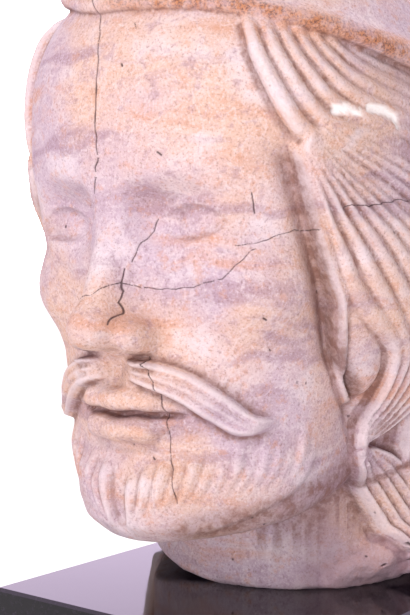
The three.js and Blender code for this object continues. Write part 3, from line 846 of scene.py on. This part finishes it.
def colour_marks(points, outward):
    """Where the stone is stained, from 0 to 1, and where shade and highlight are painted: painted
    shade in crevices, hollows and under the beard, and a painted highlight on strand crests (the
    strand mark goes below 0 in the grooves between strands, as painted shade).
    """
    x, y, z = points.T
    under = below_rim(points.T)
    stain = bump(under, -3, 3.8) * ease(1, -0.5, under)
    stain = stain * (ease(-20, 25, x) * ease(8, 4, np.abs(cap(points.T))))
    # groove: painted shade in crevices, darker the more closely the stone stands round a place
    groove = 0.5 * closeness(points, outward, 2.2) + 0.5 * closeness(points, outward, 6)
    above_edge = z - BEARD_EDGE - beard_rise(y)
    # painted shade in the hollow in front of the hair, under the beard's lower roll and in the
    # crease below the beard's edge
    valley_shade = hollow(points.T) / HOLLOW_DEPTH
    valley_shade = valley_shade + 1.1 * bump(above_edge, 7, 8) * ease(8, 30, x) * ease(66, 56, x)
    valley_shade = valley_shade + 1.2 * bump(above_edge, -1.5, 1.6) * ease(110, 70, -y)
    # strand: a painted highlight where a strand's crest stands above the hair around it, and painted
    # shade where it goes below 0 in the grooves
    around = locks.height_at(points.T, locks.softened(14))
    strand = (locks.height_at(points.T) - around) * ease(0, 6, under)
    return {"stain": stain, "groove": groove, "valley_shade": valley_shade, "strand": strand}


def place_on_block(points):
    """Points in millimetres from the middle of the neck's foot, as metres in the frame."""
    low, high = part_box("plinth")
    neck_x = low[0] + NECK_TO_LEFT_EDGE * METRES
    neck_y = high[1] - NECK_TO_BACK_EDGE * METRES
    return points * METRES + np.array([neck_x, neck_y, high[2]])


def make_head():
    mesh = carve_mesh()
    points = settle(head, points_of(mesh), MESH_CELL / 4, 1)
    outward = outward_at(head, points)
    weathered, marks = weather(points, outward)
    weathered[points[:, 2] < 0.4, 2] = 0  # the sawn foot stays flat
    weathered[:, 2] = np.maximum(weathered[:, 2], 0)
    mesh.vertices.foreach_set("co", place_on_block(weathered).ravel())
    marks.update(colour_marks(points, outward))
    for name, numbers in marks.items():
        mark = mesh.attributes.new(name, "FLOAT", "POINT")
        mark.data.foreach_set("value", numbers.astype(np.float32))
    mesh.polygons.foreach_set("use_smooth", np.ones(len(mesh.polygons), bool))
    mesh.update()
    piece = bpy.data.objects.new("carved_head", mesh)
    bpy.context.scene.collection.objects.link(piece)
    return piece


class Shader:
    """Adds nodes to a new material and joins them up."""

    def __init__(self, name):
        self.material = bpy.data.materials.new(name)
        self.material.use_nodes = True
        self.tree = self.material.node_tree
        self.surface = self.tree.nodes["Principled BSDF"]

    def connect(self, socket, value):
        if isinstance(value, bpy.types.NodeSocket):
            self.tree.links.new(value, socket)
        else:
            socket.default_value = value

    def node(self, kind, inputs, **settings):
        node = self.tree.nodes.new(kind)
        for name, value in settings.items():
            setattr(node, name, value)
        for name, value in inputs.items():
            self.connect(node.inputs[name], value)
        return node

    def math(self, operation, a, b=0.0):
        return self.node("ShaderNodeMath", {0: a, 1: b}, operation=operation).outputs[0]

    def noise(self, place, scale, detail=4.0, roughness=0.55):
        inputs = {"Vector": place, "Scale": scale, "Detail": detail, "Roughness": roughness}
        return self.node("ShaderNodeTexNoise", inputs).outputs["Fac"]

    def between(self, value, low, high, bottom=0.0, top=1.0):
        """Takes low..high to bottom..top, smoothly and without going past either."""
        inputs = {
            "Value": value,
            "From Min": low,
            "From Max": high,
            "To Min": bottom,
            "To Max": top,
        }
        node = self.node("ShaderNodeMapRange", inputs, interpolation_type="SMOOTHSTEP")
        return node.outputs["Result"]

    def mix(self, share, a, b):
        """Colour a where share is 0, b where it is 1."""
        node = self.node("ShaderNodeMix", {0: share}, data_type="RGBA")
        self.connect(node.inputs[6], a)
        self.connect(node.inputs[7], b)
        return node.outputs[2]

    def mark(self, name):
        return self.node("ShaderNodeAttribute", {}, attribute_name=name).outputs["Fac"]

    def stretched(self, place, scale):
        return self.node("ShaderNodeMapping", {"Vector": place, "Scale": scale}).outputs["Vector"]

    def warped(self, place, scale, amount):
        """The place pushed about by a noise, so that what is drawn with it wanders."""
        inputs = {"Vector": place, "Scale": scale, "Detail": 3.0}
        push = self.node("ShaderNodeTexNoise", inputs).outputs["Color"]
        centred = self.node("ShaderNodeVectorMath", {0: push, 1: (0.5,) * 3}, operation="SUBTRACT")
        scaled = self.node(
            "ShaderNodeVectorMath", {0: centred.outputs[0], "Scale": amount}, operation="SCALE"
        )
        moved = self.node("ShaderNodeVectorMath", {0: place, 1: scaled.outputs[0]}, operation="ADD")
        return moved.outputs[0]


def colour(red, green, blue):
    """A colour given as it looks on a screen, 0 to 255, in linear light."""
    linear = [((c / 255 + 0.055) / 1.055) ** 2.4 for c in (red, green, blue)]
    return (*linear, 1.0)


LILAC = colour(184, 162, 174)
PALE = colour(212, 196, 200)
PEACH = colour(200, 166, 152)
OCHRE = colour(190, 134, 104)
MAUVE = colour(146, 116, 130)
BROWN = colour(112, 74, 66)
DARK = colour(58, 38, 38)
ORANGE = colour(176, 116, 80)
PLASTER = colour(240, 232, 230)


def carved_stone():
    s = Shader("carved_stone")
    place = s.node("ShaderNodeTexCoord", {}).outputs["Object"]
    wander = s.warped(place, 22.0, 0.03)

    clouds = s.noise(wander, 13.0, 3.0)
    tint = s.mix(s.between(clouds, 0.38, 0.62), LILAC, PEACH)
    pale = s.noise(s.stretched(wander, (1.0, 1.0, 1.4)), 31.0, 4.0)
    tint = s.mix(s.between(pale, 0.5, 0.7, 0.0, 0.7), tint, PALE)

    beds = s.noise(s.stretched(s.warped(place, 30.0, 0.018), (0.35, 0.35, 2.4)), 26.0, 5.0, 0.6)
    tint = s.mix(s.between(beds, 0.54, 0.68, 0.0, 0.65), tint, OCHRE)
    tint = s.mix(s.between(beds, 0.48, 0.35, 0.0, 0.6), tint, MAUVE)

    swirl = s.noise(s.warped(place, 40.0, 0.02), 55.0, 3.0)
    vein = s.math("ABSOLUTE", s.math("SUBTRACT", swirl, 0.5))
    tint = s.mix(s.between(vein, 0.03, 0.0, 0.0, 0.28), tint, PALE)

    mottle = s.noise(place, 210.0, 6.0, 0.68)
    tint = s.mix(s.between(mottle, 0.52, 0.66, 0.0, 0.42), tint, OCHRE)
    tint = s.mix(s.between(mottle, 0.48, 0.34, 0.0, 0.42), tint, MAUVE)
    grain = s.noise(place, 1000.0, 3.0, 0.75)
    tint = s.mix(s.between(grain, 0.53, 0.68, 0.0, 0.5), tint, PALE)
    tint = s.mix(s.between(grain, 0.47, 0.32, 0.0, 0.45), tint, BROWN)

    stain = s.math("MULTIPLY", s.mark("stain"), s.between(mottle, 0.36, 0.58, 0.3, 1.0))
    rust = s.mix(s.between(grain, 0.4, 0.55), BROWN, ORANGE)
    tint = s.mix(stain, tint, rust)

    # painted highlight: strand crests paled
    strand = s.mark("strand")
    tint = s.mix(s.between(strand, 0.1, 0.8, 0.0, 0.5), tint, PALE)
    # painted shade: brown in the grooves between strands, in crevices, in the hollows and under the
    # beard
    sunk = s.math("MAXIMUM", s.between(strand, -0.05, -0.9), s.between(s.mark("groove"), 0.2, 0.9))
    sunk = s.math("MAXIMUM", sunk, s.between(s.mark("valley_shade"), 0.15, 1.0))
    painted_shade = s.math("MULTIPLY", sunk, s.between(mottle, 0.35, 0.6, 0.35, 0.8))
    tint = s.mix(painted_shade, tint, BROWN)
    tint = s.mix(s.math("MULTIPLY", s.mark("broken"), 0.55), tint, MAUVE)
    tint = s.mix(s.math("MULTIPLY", s.mark("fill"), 0.9), tint, PLASTER)

    pits = s.node("ShaderNodeTexVoronoi", {"Vector": place, "Scale": 170.0, "Randomness": 1.0})
    pit = s.between(pits.outputs["Distance"], 0.13, 0.05)
    rare = s.between(s.noise(place, 60.0, 2.0), 0.58, 0.7)
    pit = s.math("MULTIPLY", pit, rare)
    tint = s.mix(s.math("MULTIPLY", pit, 0.8), tint, DARK)
    crack = s.mark("crack")
    tint = s.mix(s.between(crack, 0.1, 0.8, 0.0, 0.85), tint, DARK)
    s.connect(s.surface.inputs["Base Color"], tint)
    s.connect(s.surface.inputs["Roughness"], s.between(mottle, 0.3, 0.7, 0.68, 0.88))
    s.connect(s.surface.inputs["Specular IOR Level"], 0.25)

    fine = s.math("MULTIPLY", mottle, 0.7)
    fine = s.math("ADD", fine, s.math("MULTIPLY", grain, 0.35))
    fine = s.math("SUBTRACT", fine, s.math("MULTIPLY", pit, 0.8))
    relief = s.node("ShaderNodeBump", {"Strength": 0.9, "Distance": 0.0012, "Height": fine})
    s.connect(s.surface.inputs["Normal"], relief.outputs["Normal"])
    return s.material


def black_stone():
    s = Shader("black_stone")
    place = s.node("ShaderNodeTexCoord", {}).outputs["Object"]
    flecks = s.noise(place, 420.0, 4.0, 0.7)
    base = s.mix(s.between(flecks, 0.5, 0.72), colour(13, 9, 15), colour(36, 29, 42))
    haze = s.noise(s.warped(place, 18.0, 0.02), 24.0, 4.0)
    s.connect(s.surface.inputs["Base Color"], base)
    s.connect(s.surface.inputs["Roughness"], s.between(haze, 0.35, 0.7, 0.04, 0.11))
    s.connect(s.surface.inputs["IOR"], 1.33)
    ripple = s.node("ShaderNodeBump", {"Strength": 0.15, "Distance": 0.0002, "Height": haze})
    s.connect(s.surface.inputs["Normal"], ripple.outputs["Normal"])
    return s.material


def floor_paint():
    s = Shader("floor_paint")
    place = s.node("ShaderNodeTexCoord", {}).outputs["Object"]
    shade = s.mix(s.noise(place, 3.0), colour(246, 244, 244), colour(250, 248, 248))
    s.connect(s.surface.inputs["Base Color"], shade)
    s.connect(s.surface.inputs["Roughness"], 0.8)
    return s.material


def dress_head():
    piece = make_head()
    piece.data.materials.append(carved_stone())
    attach(piece, "root")
    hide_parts("head")


def dress_plinth():
    polish = black_stone()
    for material_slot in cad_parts["plinth"].material_slots:
        material_slot.material = polish


def lay_floor():
    half = 4.0
    corners = [(-half, -half, 0), (half, -half, 0), (half, half, 0), (-half, half, 0)]
    mesh = bpy.data.meshes.new("floor")
    mesh.from_pydata(corners, [], [(0, 1, 2, 3)])
    mesh.materials.append(floor_paint())
    floor = bpy.data.objects.new("floor", mesh)
    bpy.context.scene.collection.objects.link(floor)


def place_light(name, location, target, size, power, tint):
    light = bpy.data.lights.new(name, "AREA")
    light.shape = "DISK"
    light.size = size
    light.energy = power
    light.color = tint
    lamp = bpy.data.objects.new(name, light)
    lamp.location = location
    lamp.rotation_euler = (Vector(target) - Vector(location)).to_track_quat("-Z", "Y").to_euler()
    bpy.context.scene.collection.objects.link(lamp)


def light_floor():
    """A soft sun high behind the head, which whitens the floor and leaves the face alone."""
    light = bpy.data.lights.new("sun", "SUN")
    light.energy = 2.4
    light.angle = math.radians(25)
    lamp = bpy.data.objects.new("sun", light)
    lamp.rotation_euler = Vector((0, 0.6, 0.8)).to_track_quat("Z", "Y").to_euler()
    bpy.context.scene.collection.objects.link(lamp)


def light_studio():
    world = bpy.data.worlds.new("studio")
    world.use_nodes = True
    tree = world.node_tree
    background = tree.nodes["Background"]
    rays = tree.nodes.new("ShaderNodeLightPath")
    hue = tree.nodes.new("ShaderNodeMix")  # the block mirrors a lilac room
    hue.data_type = "RGBA"
    hue.inputs["A"].default_value = (1, 0.99, 1, 1)
    hue.inputs["B"].default_value = (0.92, 0.75, 1, 1)
    tree.links.new(rays.outputs["Is Glossy Ray"], hue.inputs["Factor"])
    tree.links.new(hue.outputs["Result"], background.inputs["Color"])
    lit = tree.nodes.new("ShaderNodeMapRange")  # softer on the stone than where it is seen
    lit.inputs["To Min"].default_value = 2.8
    lit.inputs["To Max"].default_value = 0.4
    tree.links.new(rays.outputs["Is Diffuse Ray"], lit.inputs["Value"])
    tree.links.new(lit.outputs["Result"], background.inputs["Strength"])
    bpy.context.scene.world = world
    face_place = (0, -0.02, 0.2)
    foot_place = (0.03, -0.02, 0.05)
    place_light("key", (0.12, -1.2, 1.2), face_place, size=0.45, power=13.5, tint=(1, 0.98, 0.99))
    place_light("fill", (0.6, -1.35, 0.12), foot_place, size=0.5, power=13, tint=(1, 0.98, 1))
    light_floor()
    bpy.context.scene.view_settings.view_transform = "Standard"


def place_camera():
    """Close to the face, on the figure's left and looking slightly down."""
    turn = math.radians(38)
    pitch = math.radians(2.63)
    camera = bpy.data.objects.new("camera", bpy.data.cameras.new("camera"))
    camera.data.sensor_width = 36
    camera.data.lens = 73.2
    camera.location = (0.3016, -0.4485, 0.197)
    ahead = Vector((-math.sin(turn), math.cos(turn), -math.tan(pitch)))
    camera.rotation_euler = ahead.to_track_quat("-Z", "Y").to_euler()
    camera.data.clip_start = 0.01
    bpy.context.scene.collection.objects.link(camera)
    bpy.context.scene.camera = camera


place_camera()
light_studio()
lay_floor()
dress_plinth()
dress_head()
